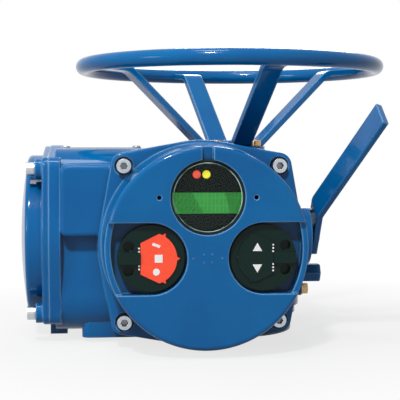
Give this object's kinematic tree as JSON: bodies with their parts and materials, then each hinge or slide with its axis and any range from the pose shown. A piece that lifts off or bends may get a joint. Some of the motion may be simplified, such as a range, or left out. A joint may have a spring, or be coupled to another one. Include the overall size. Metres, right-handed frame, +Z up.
{
  "type": "motorized valve actuator",
  "caption": "Electric multi-turn valve actuator with welded handwheel, window and selector knobs on a round front cover, declutch lever and flanged base.",
  "frame": {"origin": "centre of the valve flange's face, on the drive axis", "axes": "+Z up the drive axis to the handwheel, -Y out of the control cover, -X out of the terminal cover, +X towards the declutch lever"},
  "size_m": [0.3585, 0.333, 0.2685],
  "materials": {
    "blue_paint": "gloss enamel",
    "wheel_paint": "gloss enamel",
    "zinc_screws": "bright zinc",
    "bearing_steel": "ground and polished",
    "machined_steel": "machined, oiled",
    "laminated_steel": "stacked laminations",
    "copper_wire": "varnished copper",
    "bronze": "machined bronze",
    "black_rubber": "matte",
    "window_glass": "polished",
    "black_bezel": "satin black",
    "green_display": "backlit green",
    "red_lamp": "clear red",
    "yellow_lamp": "clear yellow",
    "green_board": "solder mask",
    "brass_pillars": "turned",
    "grey_plastic": "moulded",
    "gear_plastic": "moulded acetal",
    "black_knob": "satin black",
    "red_plate": "printed label",
    "black_plate": "printed label",
    "stainless": "brushed",
    "plated_plug": "nickel plated"
  },
  "bodies": {
    "housing": {"gear_housing": "blue_paint", "thrust_base": "blue_paint", "thrust_base_screws": "zinc_screws", "thrust_bearing": "bearing_steel", "worm_bearings": "bearing_steel", "motor_stator": "laminated_steel", "motor_windings": "copper_wire", "motor_cover": "blue_paint", "motor_cover_screws": "zinc_screws", "case_lid": "blue_paint", "case_lid_screws": "zinc_screws", "hub_bush": "bronze", "hub_seal": "black_rubber", "lever_stop_pin": "zinc_screws", "control_cover": "blue_paint", "control_cover_screws": "zinc_screws", "window_glass": "window_glass", "window_gasket": "black_rubber", "display_bezel": "black_bezel", "lcd_module": "green_display", "lamp_red": "red_lamp", "lamp_yellow": "yellow_lamp", "circuit_boards": "green_board", "board_pillars": "brass_pillars", "encoder_body": "grey_plastic", "terminal_cover": "blue_paint", "terminal_cover_screws": "zinc_screws", "terminal_cover_seal": "black_rubber", "terminal_block": "grey_plastic", "terminal_screws": "zinc_screws", "conduit_plug": "plated_plug", "oil_plug": "blue_paint", "earth_screw": "zinc_screws", "rating_plate": "stainless", "rating_plate_screws": "zinc_screws"},
    "output_gear": {"worm_gear": "bronze"},
    "output_sleeve": {"drive_sleeve": "machined_steel", "stem_nut": "bronze", "spring_retainer": "machined_steel", "clutch_spring": "machined_steel"},
    "clutch": {"clutch_ring": "machined_steel"},
    "motor_shaft": {"worm_shaft": "machined_steel", "motor_rotor": "laminated_steel"},
    "encoder_wheel": {"encoder_gear": "gear_plastic"},
    "handwheel": {"handwheel_hub": "wheel_paint", "handwheel_rim": "wheel_paint", "handwheel_spokes": "wheel_paint", "hub_screws": "zinc_screws", "stem_cap": "wheel_paint"},
    "declutch": {"declutch_shaft": "machined_steel", "declutch_yoke": "machined_steel", "declutch_roller": "machined_steel", "declutch_lever": "blue_paint", "lever_screw": "zinc_screws"},
    "mode_selector": {"mode_knob": "black_knob", "mode_knob_plate": "red_plate", "mode_knob_shaft": "stainless"},
    "command_selector": {"command_knob": "black_knob", "command_knob_plate": "black_plate", "command_knob_shaft": "stainless"}
  },
  "joints": [
    {"name": "gear_spin", "type": "hinge", "parent": "housing", "child": "output_gear", "pos_m": [0, 0, 0.062], "axis": [0, 0, 1], "continuous": true},
    {"name": "sleeve_spin", "type": "hinge", "parent": "housing", "child": "output_sleeve", "pos_m": [0, 0, 0.062], "axis": [0, 0, 1], "continuous": true},
    {"name": "clutch_lift", "type": "slide", "parent": "output_sleeve", "child": "clutch", "axis": [0, 0, 1], "range_m": [0, 0.00692], "deforming": ["clutch_spring"]},
    {"name": "worm_spin", "type": "hinge", "parent": "housing", "child": "motor_shaft", "pos_m": [-0.059, 0, 0.062], "axis": [0, 1, 0], "continuous": true},
    {"name": "encoder_spin", "type": "hinge", "parent": "housing", "child": "encoder_wheel", "pos_m": [-0.059, -0.085, 0.089], "axis": [0, 1, 0], "continuous": true},
    {"name": "handwheel_spin", "type": "hinge", "parent": "housing", "child": "handwheel", "pos_m": [0, 0, 0.15], "axis": [0, 0, 1], "continuous": true},
    {"name": "declutch_turn", "type": "hinge", "parent": "housing", "child": "declutch", "pos_m": [0.05, -0.05, 0.097], "axis": [1, 0, 0], "range_deg": [0, 35]},
    {"name": "mode_turn", "type": "hinge", "parent": "housing", "child": "mode_selector", "pos_m": [-0.08675, -0.15, 0.087], "axis": [0, -1, 0], "range_deg": [-60, 60]},
    {"name": "command_turn", "type": "hinge", "parent": "housing", "child": "command_selector", "pos_m": [0.01075, -0.15, 0.087], "axis": [0, -1, 0], "range_deg": [-60, 60], "stiffness_Nm_per_rad": 0.1}
  ],
  "couplings": [
    {"joint": "sleeve_spin", "follows": "gear_spin", "ratio": 1},
    {"joint": "worm_spin", "follows": "gear_spin", "ratio": 36},
    {"joint": "encoder_spin", "follows": "gear_spin", "ratio": -18},
    {"joint": "clutch_lift", "follows": "declutch_turn", "m_per_rad": 0.011322}
  ]
}
